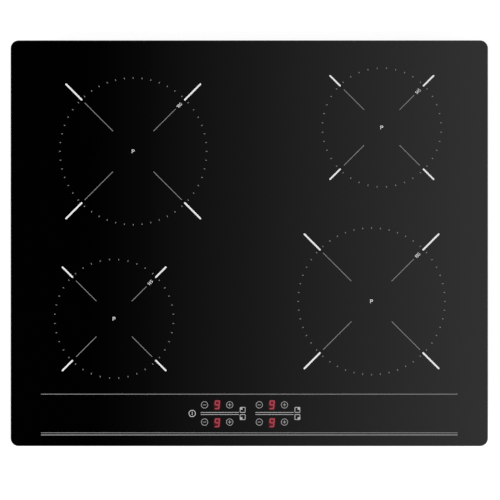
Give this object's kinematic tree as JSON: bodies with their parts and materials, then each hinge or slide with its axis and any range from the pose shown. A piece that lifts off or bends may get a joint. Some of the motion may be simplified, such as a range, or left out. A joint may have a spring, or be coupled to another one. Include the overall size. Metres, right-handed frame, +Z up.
{
  "type": "induction hob",
  "caption": "Built-in induction hob: black glass plate with cooking zones and touch panel over a vented steel casing, with sprung coils, blowers, swivel clamps and a terminal box.",
  "frame": {"origin": "centre of the casing's flat bottom, which is also the centre of the whole hob seen from above", "axes": "+Z up out of the glass, +X to the user's right, the touch panel and the user at -Y"},
  "size_m": [0.6, 0.51, 0.055],
  "materials": {
    "ceramic_glass": null,
    "foam_tape": "closed-cell foam tape",
    "silicone": "cured silicone",
    "galvanised_steel": "zinc-coated sheet, satin",
    "zinc_screws": "bright zinc plating",
    "spring_steel": "bare spring steel",
    "black_plastic": "moulded flame-retardant plastic, fine grain",
    "grey_plastic": "moulded heat-resistant plastic",
    "white_plastic": "moulded ceramic-filled plastic",
    "board_green": "solder-masked laminate",
    "aluminium_sheet": "rolled aluminium, bare",
    "aluminium_extrusion": "extruded aluminium, bare",
    "copper_litz": null,
    "ferrite": "sintered ferrite, dark grey",
    "mica": "pressed mica sheet",
    "lamination": "laminated electrical steel",
    "foam_pads": "conductive foam",
    "display_red": "red-filtered digit modules",
    "silicone_lead": "silicone-insulated leads"
  },
  "bodies": {
    "hob": {"glass_plate": "ceramic_glass", "seal_tape": "foam_tape", "silicone_bond": "silicone", "carrier_frame": "galvanised_steel", "casing_tray": "galvanised_steel", "casing_screws": "zinc_screws", "base_screws": "zinc_screws", "clamp_screws": "zinc_screws", "clamp_nuts": "zinc_screws", "terminal_box": "black_plastic", "terminal_block": "white_plastic", "cable_bush": "black_plastic", "blower_housing_left": "black_plastic", "blower_cover_left": "black_plastic", "power_board_left": "board_green", "heatsink_left": "aluminium_extrusion", "blower_housing_right": "black_plastic", "blower_cover_right": "black_plastic", "power_board_right": "board_green", "heatsink_right": "aluminium_extrusion", "fan_stators": "lamination", "board_standoffs": "zinc_screws", "power_transistors": "black_plastic", "film_capacitors": "grey_plastic", "ring_chokes": "copper_litz", "filter_board": "board_green", "coil_tray": "aluminium_sheet", "coil_sensors": "white_plastic", "coil_springs_rear_left": "spring_steel", "coil_springs_rear_right": "spring_steel", "coil_springs_front_left": "spring_steel", "coil_springs_front_right": "spring_steel", "panel_holder": "black_plastic", "touch_board": "board_green", "touch_pads": "foam_pads", "digit_displays": "display_red", "wiring_harness": "silicone_lead"},
    "fan_left": {"impeller_left": "grey_plastic"},
    "fan_right": {"impeller_right": "grey_plastic"},
    "clamp_front_left": {"clamp_front_left": "spring_steel"},
    "clamp_front_right": {"clamp_front_right": "spring_steel"},
    "clamp_rear_left": {"clamp_rear_left": "spring_steel"},
    "clamp_rear_right": {"clamp_rear_right": "spring_steel"},
    "terminal_cover": {"terminal_cover": "black_plastic"},
    "coil_rear_left": {"winding_rear_left": "copper_litz", "coil_former_rear_left": "grey_plastic", "ferrite_bars_rear_left": "ferrite", "mica_disc_rear_left": "mica"},
    "coil_rear_right": {"winding_rear_right": "copper_litz", "coil_former_rear_right": "grey_plastic", "ferrite_bars_rear_right": "ferrite", "mica_disc_rear_right": "mica"},
    "coil_front_left": {"winding_front_left": "copper_litz", "coil_former_front_left": "grey_plastic", "ferrite_bars_front_left": "ferrite", "mica_disc_front_left": "mica"},
    "coil_front_right": {"winding_front_right": "copper_litz", "coil_former_front_right": "grey_plastic", "ferrite_bars_front_right": "ferrite", "mica_disc_front_right": "mica"}
  },
  "joints": [
    {"name": "fan_left_spin", "type": "hinge", "parent": "hob", "child": "fan_left", "pos_m": [-0.19404, 0.12, 0.018], "axis": [0, 0, -1], "continuous": true},
    {"name": "fan_right_spin", "type": "hinge", "parent": "hob", "child": "fan_right", "pos_m": [0.13736, 0.12, 0.018], "axis": [0, 0, -1], "continuous": true},
    {"name": "clamp_front_left_swing", "type": "hinge", "parent": "hob", "child": "clamp_front_left", "pos_m": [-0.265, -0.162, 0.016], "axis": [0, 0, 1], "range_deg": [0, 90]},
    {"name": "clamp_front_right_swing", "type": "hinge", "parent": "hob", "child": "clamp_front_right", "pos_m": [0.265, -0.162, 0.016], "axis": [0, 0, -1], "range_deg": [0, 90]},
    {"name": "clamp_rear_left_swing", "type": "hinge", "parent": "hob", "child": "clamp_rear_left", "pos_m": [-0.265, 0.162, 0.016], "axis": [0, 0, -1], "range_deg": [0, 90]},
    {"name": "clamp_rear_right_swing", "type": "hinge", "parent": "hob", "child": "clamp_rear_right", "pos_m": [0.265, 0.162, 0.016], "axis": [0, 0, 1], "range_deg": [0, 90]},
    {"name": "terminal_cover_hinge", "type": "hinge", "parent": "hob", "child": "terminal_cover", "pos_m": [0.209, 0.1942, 0.0034], "axis": [-1, 0, 0], "range_deg": [0, 100]},
    {"name": "coil_rear_left_float", "type": "slide", "parent": "hob", "child": "coil_rear_left", "axis": [0, 0, 1], "range_m": [-0.0025, 0], "stiffness_N_per_m": 3000, "springref_m": 0.004, "deforming": ["coil_springs_rear_left"]},
    {"name": "coil_rear_right_float", "type": "slide", "parent": "hob", "child": "coil_rear_right", "axis": [0, 0, 1], "range_m": [-0.0025, 0], "stiffness_N_per_m": 3000, "springref_m": 0.004, "deforming": ["coil_springs_rear_right"]},
    {"name": "coil_front_left_float", "type": "slide", "parent": "hob", "child": "coil_front_left", "axis": [0, 0, 1], "range_m": [-0.0025, 0], "stiffness_N_per_m": 3000, "springref_m": 0.004, "deforming": ["coil_springs_front_left"]},
    {"name": "coil_front_right_float", "type": "slide", "parent": "hob", "child": "coil_front_right", "axis": [0, 0, 1], "range_m": [-0.0025, 0], "stiffness_N_per_m": 3000, "springref_m": 0.004, "deforming": ["coil_springs_front_right"]}
  ]
}
